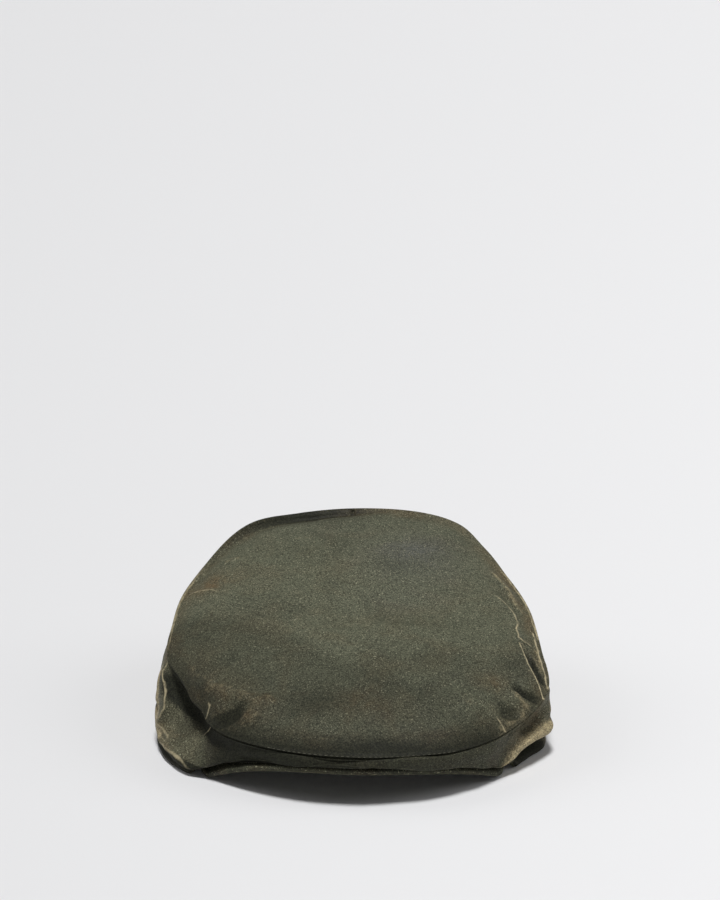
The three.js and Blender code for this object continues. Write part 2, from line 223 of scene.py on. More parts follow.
# Folds are drawn along short paths. Each has a height (a dent is below 0), its reach to the left and right
# of its path, a sharpness (left out for a soft swell, 2 for a pinched crease), how much its crest is worn
# and how far the wear spreads. A crease worn without a width is handed to the shader as a signed distance,
# which it draws as a fine line. A fold with fade dies away towards the end of its path.
# A fold's paintedShade is painted shade laid into its dent, recess or shaded underside; aged browns the
# cloth.
def foldHeights(folds, x, y, stretch=(1.0, 1.0)):
    height, wearAndHighlight, paintedShade, aged, creaseWearAndHighlight = (np.zeros_like(x) for _ in range(5))
    creaseSide = np.full(x.shape, 9.0)
    for fold in folds.values():
        nearest, side, along = alongPath(fold["path"], stretch, x, y)
        share = np.clip(1 - nearest / np.where(side > 0, *fold["reach"]), 0, 1)
        shape = share ** fold["sharp"] if "sharp" in fold else 0.5 - 0.5 * np.cos(np.pi * share)
        taper = np.clip(np.sin(np.pi * np.clip(along * 0.92 + 0.04, 0, 1)) * 1.6, 0, 1)
        taper = taper * (1 - fold.get("fade", 0.0) * smooth(0.3, 1.0, along))
        height += fold["height"] * shape * taper
        wax = np.minimum(1.0, fold.get("paintedShade", 0.0) * smooth(0.0, 0.6, share) * taper)
        paintedShade = np.maximum(paintedShade, wax)
        aged = np.maximum(aged, fold.get("aged", 0.0) * smooth(0.0, 0.8, share) * taper)
        # wear, which on a few facets is raised into a painted highlight
        if "wornWidth" in fold:
            wearAndHighlight = np.maximum(wearAndHighlight, fold["wearAndHighlight"] * np.clip(1 - nearest / fold["wornWidth"], 0, 1) * taper)
        elif "wearAndHighlight" in fold:
            paleWearAndHighlight = fold["wearAndHighlight"] * np.clip(1.4 - nearest / 4.0, 0, 1) * taper
            stronger = paleWearAndHighlight > creaseWearAndHighlight
            creaseWearAndHighlight = np.where(stronger, paleWearAndHighlight, creaseWearAndHighlight)
            creaseSide = np.where(stronger, np.sign(side) * nearest, creaseSide)
    marks = {"wearAndHighlight": wearAndHighlight, "paintedShade": paintedShade, "aged": aged, "creaseSide": creaseSide, "creaseWearAndHighlight": creaseWearAndHighlight}
    return height, marks


def wander(x, y, size, seed, layers=14):
    # a soft random surface made of many slow waves, from about -1 to 1
    chance = np.random.default_rng(seed)
    total = np.zeros_like(x)
    for _ in range(layers):
        angle = chance.uniform(0, 2 * np.pi)
        wave = 2 * np.pi / (size * chance.uniform(0.7, 1.6))
        total += np.sin((x * np.cos(angle) + y * np.sin(angle)) * wave + chance.uniform(0, 2 * np.pi))
    return total / math.sqrt(layers) * 0.8


def blurred(values, passes):
    for _ in range(passes):
        for axis in (0, 1):
            ends = [(1, 1) if a == axis else (0, 0) for a in range(values.ndim)]
            padded = np.pad(values, ends, mode="edge")
            low = np.take(padded, range(0, values.shape[axis]), axis=axis)
            high = np.take(padded, range(2, values.shape[axis] + 2), axis=axis)
            values = 0.25 * low + 0.5 * values + 0.25 * high
    return values


def quads(*corners):
    return np.stack(corners, axis=-1).reshape(-1, 4).tolist()


def placed(points):
    return (points + np.array([*cap["shift"], 0.0])) * mm


def addObject(name, data):
    made = bpy.data.objects.new(name, data)
    bpy.context.scene.collection.objects.link(made)
    return made


def finishedMesh(piece):
    return bpy.data.meshes.new_from_object(piece.evaluated_get(bpy.context.evaluated_depsgraph_get()))


def makePiece(name, points, faces, uv, fields):
    mesh = bpy.data.meshes.new(name)
    mesh.from_pydata(placed(points).tolist(), [], faces)
    mesh.polygons.foreach_set("use_smooth", [True] * len(mesh.polygons))
    corners = np.empty(len(mesh.loops), dtype=np.int32)
    mesh.loops.foreach_get("vertex_index", corners)
    layer = mesh.uv_layers.new(name="cloth")
    layer.data.foreach_set("uv", (uv * mm)[corners].astype(np.float32).ravel())
    for fieldName, values in fields.items():
        field = mesh.attributes.new(fieldName, "FLOAT", "POINT")
        field.data.foreach_set("value", values.astype(np.float32))
    mesh.update()
    return addObject(name, mesh)


def thicken(piece, thickness, shares=None):
    wall = piece.modifiers.new("wall", "SOLIDIFY")
    wall.thickness = thickness * mm
    wall.offset = -1
    wall.use_even_offset = False
    if shares is not None:
        group = piece.vertex_groups.new(name="thick")
        for k, share in enumerate(shares.tolist()):
            group.add([k], share, "REPLACE")
        wall.vertex_group = "thick"
        wall.thickness_vertex_group = 0.0
    finished = finishedMesh(piece)
    piece.modifiers.clear()
    piece.vertex_groups.clear()
    old = piece.data
    piece.data = finished
    bpy.data.meshes.remove(old)
    finished.name = piece.name


# top panel
topCloth = {
    "grid": 200,
    "rimRows": 6,
    "lipTurn": 118,  # degrees that the edge rolls over, down into the seam
    "tuckUnder": 1.4,
    "waves": ((70, 3, 0.7), (26, 5, 0.22), (11, 8, 0.06)),  # how long, from which seed and how high
    "dart": {"x": -1.5, "halfWidth": 1.1, "length": 6.0, "depth": 1.6},
    "proudWear": 0.3,  # what stands 0.35 mm above the cloth round it
    "edgeLine": (0.95, 0.6),  # how pale the edge's line is, worn and painted as a highlight, on the right and the left
}

# how dark the painted shade is in the dart, in the trough and beside it, round the roll and its edge,
# across the front and on the lip
topShade = {
    "dart": 0.9,
    "trough": 0.3,
    "troughSides": 0.12,
    "roll": 0.48,
    "rollEdge": 0.2,
    "front": 0.4,
    "lip": 0.85,
}

# how the panel rolls down to its edge: azimuth, how far it rises and over what distance
rollColumns = np.array([
    (0, 0.0, 12), (60, 0.5, 10), (90, 1.8, 8), (112, 4.0, 9), (130, 8.0, 10), (150, 11.0, 12),
    (180, 12.0, 13), (210, 11.0, 13), (228, 8.5, 11), (245, 5.0, 9), (262, 2.5, 8), (300, 0.8, 9),
    (360, 0.0, 12),
])

# the trough inside the raised edge: azimuth, its depth and how far inside the edge it is
troughColumns = np.array([
    (-180, 0.0, 5), (-75, 0.0, 5), (-60, 0.6, 3), (-45, 1.2, 3), (-32, 1.2, 3), (-20, 0.6, 3),
    (-8, 1.8, 3), (0, 4.0, 3.5), (12, 5.0, 4), (28, 4.6, 5), (40, 3.6, 5), (52, 2.2, 4),
    (64, 0.8, 4), (80, 0.0, 5), (180, 0.0, 5),
])

# where the painted shade across the front of the panel begins: x against y
shadeColumns = np.array([
    (-110, 20), (-78, 7), (-34, -25), (-9, -48), (15, -64), (38, -72), (85, -85), (110, -94),
])

# soft stains and patches of painted shade on the panel, by what they do: their middle, their reach along x
# and y, and their strength
topStainsAndShade = {
    "cool": [
        ((38, 62), (30, 34), 0.75), ((30, 15), (26, 16), 0.3),
        ((-10, 104), (60, 18), 0.15),
    ],
    "aged": [
        ((-90, 42), (12, 14), 0.6), ((8, -104), (26, 11), 0.55),
        ((-60, -100), (16, 14), 0.5), ((-92, -50), (10, 22), 0.45),
        ((84, -70), (12, 8), 0.3),
    ],
    # patches of painted shade, and of painted light where the strength is below 0
    "paintedShade": [
        ((-24, -99), (26, 13), 0.34), ((-72, 84), (16, 18), -0.15),
        ((62, -56), (36, 17), 0.33), ((95, -50), (9, 10), 0.3),
        ((36, -76), (24, 16), 0.08), ((24, -128), (30, 5), 0.28),
        ((56, -83), (22, 12), 0.2), ((104, -42), (10, 16), 0.25),
    ],
    "wearAndHighlight": [
        ((107, 20), (4, 30), 0.42), ((112, -25), (3, 20), 0.5),
    ],
}

topFolds = {
    "right rear crease": dict(
        path=[(84, 62), (90.1, 51.9), (96.4, 38.6), (99.5, 26), (103, 14)],
        height=2.2, reach=(9, 6), sharp=2, wearAndHighlight=0.5, wornWidth=3.5),
    "right rear second": dict(
        path=[(88, 26), (90.8, 19.8), (97.1, 10.6), (100.6, -2.3)],
        height=2.4, reach=(6, 10), sharp=2, wearAndHighlight=0.8),
    "right rear hollow": dict(
        path=[(92, 40), (95, 27), (100, 10)],
        height=-1.8, reach=(4, 4)),
    "right middle crease": dict(
        path=[(100.6, -2.3), (99, -12), (100.1, -22.4), (105, -24), (111.2, -25)],
        height=2.6, reach=(8, 5), sharp=2, wearAndHighlight=1.15),
    "right front fold": dict(
        path=[(99.8, -22), (101.2, -33), (104.1, -46.7), (109.8, -56.5), (113, -63), (115, -70)],
        height=3.2, reach=(4, 18), sharp=2, wearAndHighlight=1.4),
    "right front facet": dict(
        path=[(104, -30), (108.5, -42), (113.5, -54)],
        height=-4.4, reach=(4, 4), paintedShade=0.9),
    "right edge line": dict(
        path=[(109.6, 2), (110.6, -12), (112.4, -27), (114.6, -42), (116, -56)],
        height=1.6, reach=(3, 4), sharp=2, wearAndHighlight=1.4),
    "corner dent": dict(
        path=[(93, -65), (100, -67), (106, -66.5), (111, -64)],
        height=-4.6, reach=(3.6, 3.2), paintedShade=0.9),
    "corner ridge": dict(
        path=[(94, -70), (100, -73.5), (105, -74)],
        height=2.8, reach=(3.5, 4), sharp=2, wearAndHighlight=0.5, wornWidth=3.5),
    "corner second dent": dict(
        path=[(84, -84), (91, -83), (98, -78)],
        height=-5.0, reach=(6, 5), paintedShade=0.7),
    "corner swell": dict(
        path=[(60, -92), (74, -86), (84, -72)],
        height=2.4, reach=(13, 10), wearAndHighlight=0.12, wornWidth=9),
    "right pinch": dict(
        path=[(83, -89.5), (86, -92), (90.5, -94.5)],
        height=1.2, reach=(3, 3), sharp=2, wearAndHighlight=0.65),
    "right seam ridge": dict(
        path=[(81, -99.5), (88, -92), (96, -83), (103, -75)],
        height=1.6, reach=(3, 3), wearAndHighlight=0.55, wornWidth=3),
    "left edge crease": dict(
        path=[(-108, 44), (-98, 39), (-87.5, 31.4)],
        height=1.4, reach=(8, 6), sharp=2, wearAndHighlight=0.6),
    "left faint streak": dict(
        path=[(-86, 66), (-72, 68)],
        height=0.7, reach=(9, 7), wearAndHighlight=0.3, wornWidth=5),
    "back streak": dict(
        path=[(-42, 86), (-24, 88.5)],
        height=0.4, reach=(8, 8), wearAndHighlight=0.3, wornWidth=4),
    "left edge swell": dict(
        path=[(-104, -38), (-95, -58), (-84, -71), (-73, -81), (-66, -89), (-60, -103)],
        height=2.8, reach=(20, 7), wearAndHighlight=0.2, wornWidth=6, aged=0.35),
    "left hollow rim": dict(
        path=[(-95, -62), (-84, -76), (-74, -86), (-64, -93), (-50, -99)],
        height=2.0, reach=(7, 4), wearAndHighlight=0.1, wornWidth=5, aged=0.45),
    "left pinch": dict(
        path=[(-87.2, -78), (-86, -83), (-88.2, -88)],
        height=1.8, reach=(3, 3), sharp=2, wearAndHighlight=0.6),
    "left corner dent": dict(
        path=[(-86, -94.5), (-80, -96.5), (-74, -98), (-68, -98.5), (-62, -98)],
        height=-6.4, reach=(7, 3.6), paintedShade=1.7, fade=0.8),
    "left brown swell": dict(
        path=[(-68, -106), (-58, -101), (-46, -92)],
        height=2.2, reach=(9, 9), wearAndHighlight=0.15, wornWidth=7, aged=0.6),
    "left flank dent": dict(
        path=[(-95, -69), (-91.5, -76), (-90, -83)],
        height=-3.0, reach=(3.5, 5), paintedShade=0.35),
    "middle sag": dict(
        path=[(-50, 10), (0, 0), (50, 12)],
        height=-1.6, reach=(46, 40)),
}


def lip(name, at):
    front, back = cap[name]
    share = smooth(0.45, 0.95, 0.5 + 0.5 * np.cos(np.radians(at)))
    return front + (back - front) * share


def fromBack(at):
    # azimuths from -180 to 180
    return (at + 180.0) % 360.0 - 180.0


def troughDepth(at, inside):
    depth, away = (tableAt(troughColumns, fromBack(at), k) for k in (1, 2))
    return depth * inside / away * np.exp(1 - inside / away)


def rollRise(at, inside):
    rise, away = (tableAt(rollColumns, np.mod(at, 360.0), k) for k in (1, 2))
    return rise * (1 - np.exp(-inside / away))


def addStainsAndShade(marks, x, y):
    # painted shade adds up, and of the others the strongest shows
    for kind, spots in topStainsAndShade.items():
        for (midX, midY), (reachX, reachY), amount in spots:
            spot = amount * np.exp(-((x - midX) / reachX) ** 2 - ((y - midY) / reachY) ** 2)
            marks[kind] = marks[kind] + spot if kind == "paintedShade" else np.maximum(marks[kind], spot)


def topPlane(y):
    front = stations[stations[:, 0] == 180][0]
    back = stations[0]
    share = (y - cap["centreY"] + front[1]) / (front[1] + back[1])
    return front[2] + share * (back[2] - front[2]) + cap["planeRise"]


def markTop(marks, at, x, y, inside, dart):
    # painted shade in the dart, in the trough and round the roll, a browner edge and painted shade across
    # the front
    turn = fromBack(at)
    hollow = np.clip(troughDepth(at, 4.0) - 1.6, 0, 3.4)
    rolled = smooth(60.0, 90.0, np.abs(turn)) * rollRise(at, 5.0) / 4.0
    roll = topShade["roll"] * smooth(12.0, 2.0, inside) + topShade["rollEdge"] * smooth(3.0, 0.0, inside)
    for wax in (
        topShade["dart"] * dart,
        topShade["trough"] * hollow * smooth(8.0, 3.0, inside),
        topShade["troughSides"] * hollow * smooth(22.0, 5.0, inside),
        rolled * roll,
    ):
        marks["paintedShade"] = np.maximum(marks["paintedShade"], wax)
    marks["cool"] = np.zeros_like(x)
    marks["aged"] = np.maximum(marks["aged"], 0.35 * smooth(14.0, 2.0, inside))
    addStainsAndShade(marks, x, y)
    shaded = smooth(0.0, 22.0, tableAt(shadeColumns, x) - y)
    marks["paintedShade"] = np.clip(marks["paintedShade"] + topShade["front"] * shaded, 0, 1)
    # the edge is worn to a pale line on both sides, between the back and the front corners, and the line is
    # a painted highlight too where the edge catches the light
    edgeLit = smooth(52.0, 64.0, np.abs(turn)) * (1 - smooth(98.0, 106.0, np.abs(turn + 4.0)))
    lineWearAndHighlight = edgeLit * np.where(turn < 0, *topCloth["edgeLine"]) * (inside < 4.0)
    marks["creaseSide"] = np.where(lineWearAndHighlight > marks["creaseWearAndHighlight"], inside - 0.3, marks["creaseSide"])
    marks["creaseWearAndHighlight"] = np.maximum(marks["creaseWearAndHighlight"], lineWearAndHighlight)


def topSurface(at, share):
    rim = column("seamR", at) - lip("lipInset", at)
    x, y = polar(at, rim * share)
    edgeY = polar(at, rim)[1]
    z = topPlane(y) + cap["domeHeight"] * (1 - share ** cap["domePower"])
    z += (column("seamZ", at) + lip("lipDrop", at) - topPlane(edgeY)) * share ** cap["rimEase"]
    inside = rim * (1 - share)
    z += rollRise(at, inside) * share ** 1.6 - troughDepth(at, inside)
    folds, marks = foldHeights(topFolds, x, y)
    rest = 1 - share ** 40  # folds and waves die out right at the edge
    z += folds * rest
    z += sum(wander(x, y, size, seed) * height for size, seed, height in topCloth["waves"]) * rest
    form = topCloth["dart"]
    dart = np.exp(-((x - form["x"]) / form["halfWidth"]) ** 2 - (inside / form["length"]) ** 2) * (y > 100)
    z -= form["depth"] * dart
    markTop(marks, at, x, y, inside, dart)
    return x, y, z, marks


def makeTopPanel():
    count, rows = topCloth["grid"], topCloth["rimRows"]
    u, v = np.meshgrid(np.linspace(-1, 1, count), np.linspace(-1, 1, count), indexing="ij")
    dx, dy = u * np.sqrt(1 - v * v / 2), v * np.sqrt(1 - u * u / 2)
    share = np.minimum(np.hypot(dx, dy), 1.0)
    at = np.degrees(np.arctan2(-dx, dy))
    x, y, z, marks = topSurface(at, share)
    proud = z - blurred(z, 10)
    marks["wearAndHighlight"] = marks["wearAndHighlight"] + np.clip(proud / 0.35, 0, 1) * topCloth["proudWear"]
    points = [np.stack([x, y, z], axis=-1).reshape(-1, 3)]
    fields = {name: [values.ravel()] for name, values in marks.items()}
    uv = [np.stack([x, y], axis=-1).reshape(-1, 2)]
    index = np.arange(count * count).reshape(count, count)
    faces = quads(index[:-1, :-1], index[1:, :-1], index[1:, 1:], index[:-1, 1:])
    # the edge runs once round, and the rolled lip follows it down into the seam
    ring = np.concatenate([index[:-1, 0], index[-1, :-1], index[:0:-1, -1], index[0, :0:-1]])
    ringAt = at.ravel()[ring]
    seamR, seamZ = column("seamR", ringAt), column("seamZ", ringAt)
    inset, drop = lip("lipInset", ringAt), lip("lipDrop", ringAt)
    rimR, crestZ = seamR - inset, seamZ + drop
    turned = np.mod(ringAt, 360.0)
    # painted shade on the rolled lip's inner face, from the left side round to just past the peak's middle
    lipShade = topShade["lip"] * smooth(95.0, 110.0, turned) * smooth(196.0, 180.0, turned)
    lipTurn = math.radians(topCloth["lipTurn"])
    last = ring
    total = count * count
    for k in range(1, rows + 1):
        turn = lipTurn * k / rows
        r = rimR + (inset + 0.4) * math.sin(turn)
        height = crestZ - drop * (1 - math.cos(turn)) / (1 - math.cos(lipTurn))
        if k == rows:
            r = seamR - topCloth["tuckUnder"]
            height = seamZ - 0.1
        points.append(pointsAt(ringAt, r, height))
        for name, values in marks.items():
            edge = values.ravel()[ring]
            fields[name].append(np.maximum(edge, lipShade) if name == "paintedShade" else edge)
        uv.append(np.stack(polar(ringAt, rimR + 0.9 * k), axis=-1))
        here = np.arange(total, total + len(ring))
        total += len(ring)
        faces += quads(last, here, np.roll(here, -1), np.roll(last, -1))
        last = here
    fields = {name: np.concatenate(values) for name, values in fields.items()}
    return makePiece("crown_top", np.concatenate(points), faces, np.concatenate(uv), fields)


# side panels
sideCloth = {
    "columns": 330,
    "steps": (2, 4, 9, 9, 8, 4, 4, 3, 5, 7, 5, 2, 2, 3, 4),  # rows between the section's points
    "wallMmPerDegree": 2.2,
    "heel": 2.5,  # how far inside its foot the cloth lies down
    "footRise": 2.6,
    "waves": ((0.5, (42, 11), 1.5), (1.0, (12, 12), 0.2)),  # how upright, (how long, seed), how high
    "proudWear": 0.25,  # what stands 0.5 mm above the cloth round it
    "frontThinning": 0.65,
}

# how far the front strip swells out under the seam, by azimuth
puffColumns = np.array([(183, 0.0), (193, 0.55), (232, 0.55), (240, 0.0)])

# how dark the front strip's painted shade is, by azimuth
stripShadeColumns = np.array([
    (0, 0.0), (130, 0.8), (145, 1.0), (165, 1.0), (185, 0.85), (205, 0.7), (230, 0.5), (360, 0.0),
])

# these folds are placed by azimuth and height, and they reach so many millimetres along the wall
sideFolds = {
    "left front ridge": dict(
        path=[(103.5, 50), (107, 45), (110.6, 36), (112.2, 26), (111.6, 20), (109.6, 15.5)],
        height=3.6, reach=(9, 14), sharp=2, wearAndHighlight=0.9),
    # its crest is worn tan, made far paler than wear alone as a painted highlight where it faces the light
    "left facet": dict(
        path=[(101, 46), (103.5, 38), (105, 30), (107, 22), (109, 14)],
        height=0.6, reach=(7, 12), wearAndHighlight=2.3, wornWidth=9, aged=0.9),
    "left recess": dict(
        path=[(108, 47.5), (111.5, 43.5), (115.5, 39), (120, 34.5), (128, 33), (136, 31.5), (146, 29)],
        height=-6.5, reach=(12, 13), paintedShade=2.2),
    "left notch": dict(
        path=[(96, 27), (102, 25), (109, 21)],
        height=-2.6, reach=(4, 4), paintedShade=0.3),
    "left drape": dict(
        path=[(119, 30), (122.5, 22), (126, 14)],
        height=1.2, reach=(11, 12), wearAndHighlight=0.05, wornWidth=7, paintedShade=0.4),
    "left pinch": dict(
        path=[(132.3, 40), (132.2, 34), (132, 27), (131.6, 20)],
        height=1.2, reach=(3, 3), sharp=2, wearAndHighlight=0.85),
    "left low ridge": dict(
        path=[(108.8, 15.4), (112.5, 14.6), (115.5, 13), (120.8, 11), (125.2, 8.8)],
        height=1.2, reach=(4, 3), sharp=2, wearAndHighlight=0.6),
    "left lowest ridge": dict(
        path=[(107, 5), (113, 6.8), (118.5, 8.2), (123, 8.3), (127, 7.7), (130, 6.6), (133, 4.8)],
        height=1.0, reach=(4, 2.5), sharp=2, wearAndHighlight=0.8),
    "left shaded foot": dict(
        path=[(106, 2), (114, 2.5), (122, 3), (130, 3), (136, 3), (143, 6)],
        height=0.0, reach=(6, 7), paintedShade=2.4),
    # painted highlight: the block is made pale with worn tan where it catches the light
    "left lit block": dict(
        path=[(104, 15), (109, 12.5), (115, 9.5)],
        height=0.0, reach=(5, 5), wearAndHighlight=1.6, wornWidth=5),
    "right roll shade": dict(
        path=[(244, 11), (249, 10), (254, 12)],
        height=0.0, reach=(4, 4), paintedShade=0.8),
    "right upper dent": dict(
        path=[(223.5, 27), (228, 27.5), (233, 28.5)],
        height=-2.2, reach=(4, 4), paintedShade=0.35),
    "right middle dent": dict(
        path=[(231, 24), (237, 23.5), (242, 26)],
        height=-2.6, reach=(5, 4), paintedShade=0.12),
    "right corner swell": dict(
        path=[(248, 42), (249, 32), (247, 22)],
        height=1.2, reach=(8, 8), wearAndHighlight=0.65, wornWidth=8),
    # worn tan, raised as a painted highlight where the band faces the light from the front
    "right band": dict(
        path=[(222, 4), (225.5, 9), (229.5, 14), (234, 16.4), (241, 17.2), (249, 17)],
        height=1.6, reach=(4, 6), wearAndHighlight=1.9, wornWidth=7),
    # a pale line along the band's edge: wear, and a painted highlight along the lit edge
    "right band edge": dict(
        path=[(223, 5.5), (227, 11), (232, 14.6), (238, 15.4), (247, 15.6)],
        height=0.5, reach=(4, 4), sharp=2, wearAndHighlight=1.0),
    "right shaded foot": dict(
        path=[(228, 3), (234, 6), (243, 7), (249, 5)],
        height=0.0, reach=(9, 8), paintedShade=1.8),
    "right tab": dict(
        path=[(241, 10), (243.5, 5), (246, 1)],
        height=1.2, reach=(4, 4), sharp=2, wearAndHighlight=0.6, wornWidth=3),
    "right side line": dict(
        path=[(262, 46), (255, 36), (250, 26)],
        height=1.4, reach=(6, 6), sharp=2, wearAndHighlight=0.8),
}


def sideControls(at):
    # the section as (r, z), from the seam down, round the low roll and in to the turned-up hem
    seamR, seamZ = column("seamR", at), column("seamZ", at) - cap["seamGap"]
    crestR, crestZ = column("crestR", at), column("crestZ", at)
    footR, swell = column("footR", at), column("swell", at)
    heelR = footR - sideCloth["heel"]
    hemR = hemRadius(at)
    stepR = hemR + headHole["foot"]
    heelZ, hemZ = restingHeight(at, heelR), restingHeight(at, stepR)
    footZ = heelZ + np.minimum(sideCloth["footRise"], 0.45 * (crestZ - heelZ))
    puff = tableAt(puffColumns, at)
    rows = [(seamR - 1.3, seamZ + 0.1), (seamR - 0.1 + puff, seamZ - 0.7)]
    for down, share in ((0.12, 0.3), (0.42, 1.0), (0.75, 0.65)):
        r = seamR + down * (crestR - seamR) + share * swell + puff * (1 - down)
        rows.append((r, seamZ + down * (crestZ - seamZ)))
    rows.append((crestR, crestZ))
    rows.append((np.minimum(crestR, footR) - column("tuck", at), crestZ + 0.6 * (footZ - crestZ)))
    rows += [(footR, footZ), (heelR, heelZ)]
    archShare = np.clip((heelR - stepR) / 14.0, 0.1, 1.0)
    for inward, arch in ((0.25, 0.8), (0.6, 1.5), (0.88, 0.4)):
        r = heelR + inward * (stepR - heelR)
        arched = heelZ + inward * (hemZ - heelZ) + arch * archShare
        rows.append((r, np.maximum(arched, restingHeight(at, r))))
    rows += [(stepR, hemZ), (hemR + 1, hemZ), (hemR, hemZ + 2.2), (hemR, hemZ + headHole["turnUp"])]
    return np.stack([np.stack([r, z], axis=-1) for r, z in rows], axis=1)


def sideSection(at):
    # a smooth curve through the section's points
    controls = sideControls(at)
    gaps = np.linalg.norm(np.diff(controls, axis=1), axis=2)
    knots = np.concatenate([np.zeros((len(at), 1)), np.cumsum(np.maximum(gaps, 1e-3), axis=1)], axis=1)
    slopes = np.empty_like(controls)
    slopes[:, 1:-1] = (controls[:, 2:] - controls[:, :-2]) / (knots[:, 2:] - knots[:, :-2])[..., None]
    slopes[:, 0] = (controls[:, 1] - controls[:, 0]) / gaps[:, :1]
    slopes[:, -1] = (controls[:, -1] - controls[:, -2]) / gaps[:, -1:]
    section = []
    for k, steps in enumerate(sideCloth["steps"]):
        ends = controls[:, k], controls[:, k + 1], slopes[:, k], slopes[:, k + 1]
        section += [hermite(*ends, gaps[:, k, None], step / steps) for step in range(steps)]
    section = np.stack([*section, controls[:, -1]], axis=1)
    return section[..., 0], section[..., 1]


def makeSidePanel(name, first, last):
    at = np.linspace(first, last, sideCloth["columns"] + 1)
    r, z = sideSection(at)
    rows = r.shape[1]
    around = np.repeat(at[:, None], rows, axis=1)
    footRow = sum(sideCloth["steps"][:7])
    rowNumber = np.arange(rows)[None, :] * np.ones_like(r)
    onWall = (1 - smooth(footRow - 7, footRow - 1, rowNumber)) * smooth(2, 7, rowNumber)
    onCloth = rowNumber < footRow + 3
    wide = sideCloth["wallMmPerDegree"]
    push, marks = foldHeights(sideFolds, around * wide, z, (wide, 1.0))
    awayFromBack = smooth(2.0, 26.0, np.minimum(around, 360.0 - around))
    waves = [wander(around * wide, z * share, *wave) * height for share, wave, height in sideCloth["waves"]]
    push += sum(waves) * awayFromBack
    points = pointsAt(around, r, z)
    outward = np.cross(np.gradient(points, axis=1), np.gradient(points, axis=0))
    outward /= np.linalg.norm(outward, axis=-1, keepdims=True) + 1e-9
    points = points + outward * (push * onWall)[..., None]
    points[..., 2] = np.maximum(points[..., 2], 0.0)
    proud = ((points - blurred(points, 8)) * outward).sum(axis=-1)
    wearAndHighlight = marks["wearAndHighlight"] + np.clip(proud / 0.5, 0, 1) * sideCloth["proudWear"]
    marks["wearAndHighlight"] = wearAndHighlight * (1 - 0.85 * marks["paintedShade"]) * onCloth
    front = 1 - smooth(38.0, 52.0, np.abs(at - 180.0))[:, None]
    stripShade = tableAt(stripShadeColumns, at)[:, None]
    marks["paintedShade"] = np.maximum(marks["paintedShade"], stripShade * front) * onCloth
    marks["creaseWearAndHighlight"] = marks["creaseWearAndHighlight"] * onCloth
    marks["aged"] = np.maximum(marks["aged"], np.maximum(0.35 * (1 - front), 0.2)) * onCloth
    shares = 1 - sideCloth["frontThinning"] * front * (rowNumber > footRow - 14)
    lengths = np.linalg.norm(np.diff(points, axis=1), axis=-1)
    down = np.concatenate([np.zeros((len(at), 1)), np.cumsum(lengths, axis=1)], axis=1)
    uv = np.stack([around * wide, -down], axis=-1).reshape(-1, 2)
    index = np.arange(len(at) * rows).reshape(len(at), rows)
    faces = quads(index[:-1, :-1], index[:-1, 1:], index[1:, 1:], index[1:, :-1])
    fields = {name: values.ravel() for name, values in marks.items()}
    piece = makePiece(name, points.reshape(-1, 3), faces, uv, fields)
    thicken(piece, cap["sideThickness"], shares.ravel())
    return piece


# the peak: a padded edge with a fine seam along its middle
peakCloth = {"columns": 200, "across": 18, "edgeRows": 10, "groove": 0.35, "grooveWidth": 0.22, "paleWearAndHighlight": 0.3}


def makePeak():
    across, edgeRows = peakCloth["across"], peakCloth["edgeRows"]
    first, last = peakForm["middle"] - peakForm["endAngle"], peakForm["middle"] + peakForm["endAngle"]
    at = np.linspace(first, last, peakCloth["columns"] + 1)
    inner = hemRadius(at) + peakForm["insideHem"]
    half = peakForm["thickness"] / 2
    edge = peakRadius(at) - half
    # the section runs out along the top, round the edge and back underneath
    loop = [(inner + share * (edge - inner), 2 * half) for share in np.linspace(0, 1, across)]
    for k in range(1, edgeRows):
        turn = math.pi * k / edgeRows
        groove = peakCloth["groove"] * math.exp(-((turn - math.pi / 2) / peakCloth["grooveWidth"]) ** 2)
        loop.append((edge + (half - groove) * math.sin(turn), half + (half - groove) * math.cos(turn)))
    loop += [(inner + share * (edge - inner), 0.0) for share in np.linspace(1, 0, across)]
    points = np.stack([pointsAt(at, r, peakUnder(*polar(at, r)) + up) for r, up in loop], axis=1)
    rows = points.shape[1]
    index = np.arange(len(at) * rows).reshape(len(at), rows)
    ahead = np.roll(index, -1, axis=1)
    faces = quads(index[:-1], ahead[:-1], ahead[1:], index[1:])
    faces.append(index[0, ::-1].tolist())
    faces.append(index[-1].tolist())
    around = np.cumsum(np.linalg.norm(np.diff(points, axis=1, append=points[:, :1]), axis=-1), axis=1)
    alongEdge = np.repeat(at[:, None] * sideCloth["wallMmPerDegree"], rows, axis=1)
    uv = np.stack([alongEdge, around], axis=-1).reshape(-1, 2)
    # a pale band along the edge's seam: wear, and a painted highlight on the edge's crest
    wearAndHighlight = np.zeros((len(at), rows))
    middle = across + edgeRows // 2
    wearAndHighlight[:, middle - 3:middle + 2] = peakCloth["paleWearAndHighlight"]
    return makePiece("peak_cover", points.reshape(-1, 3), faces, uv, {"wearAndHighlight": wearAndHighlight.ravel()})


topPanel = makeTopPanel()
thicken(topPanel, cap["topThickness"])
print("top panel:", len(topPanel.data.polygons), "faces")
leftPanel = makeSidePanel("side_cloth_left", 0.07, 180.0)
rightPanel = makeSidePanel("side_cloth_right", 180.0, 359.93)
print("side panels:", len(leftPanel.data.polygons), len(rightPanel.data.polygons), "faces")
peakPiece = makePeak()
print("peak:", len(peakPiece.data.polygons), "faces")


# stitches: short threads laid one after another along a path
stitchLook = {
    "sizes": {"Spacing": 3.1, "Length": 2.2, "Thickness": 0.42},
    "uneven": 0.16,
    "seam": {"from": 158, "to": 205, "out": 0.45, "up": 0.75},
    "hem": {"in": 0.05, "up": 7.5},
    "peak": {"reach": 42, "in": 7, "down": 0.03},
}


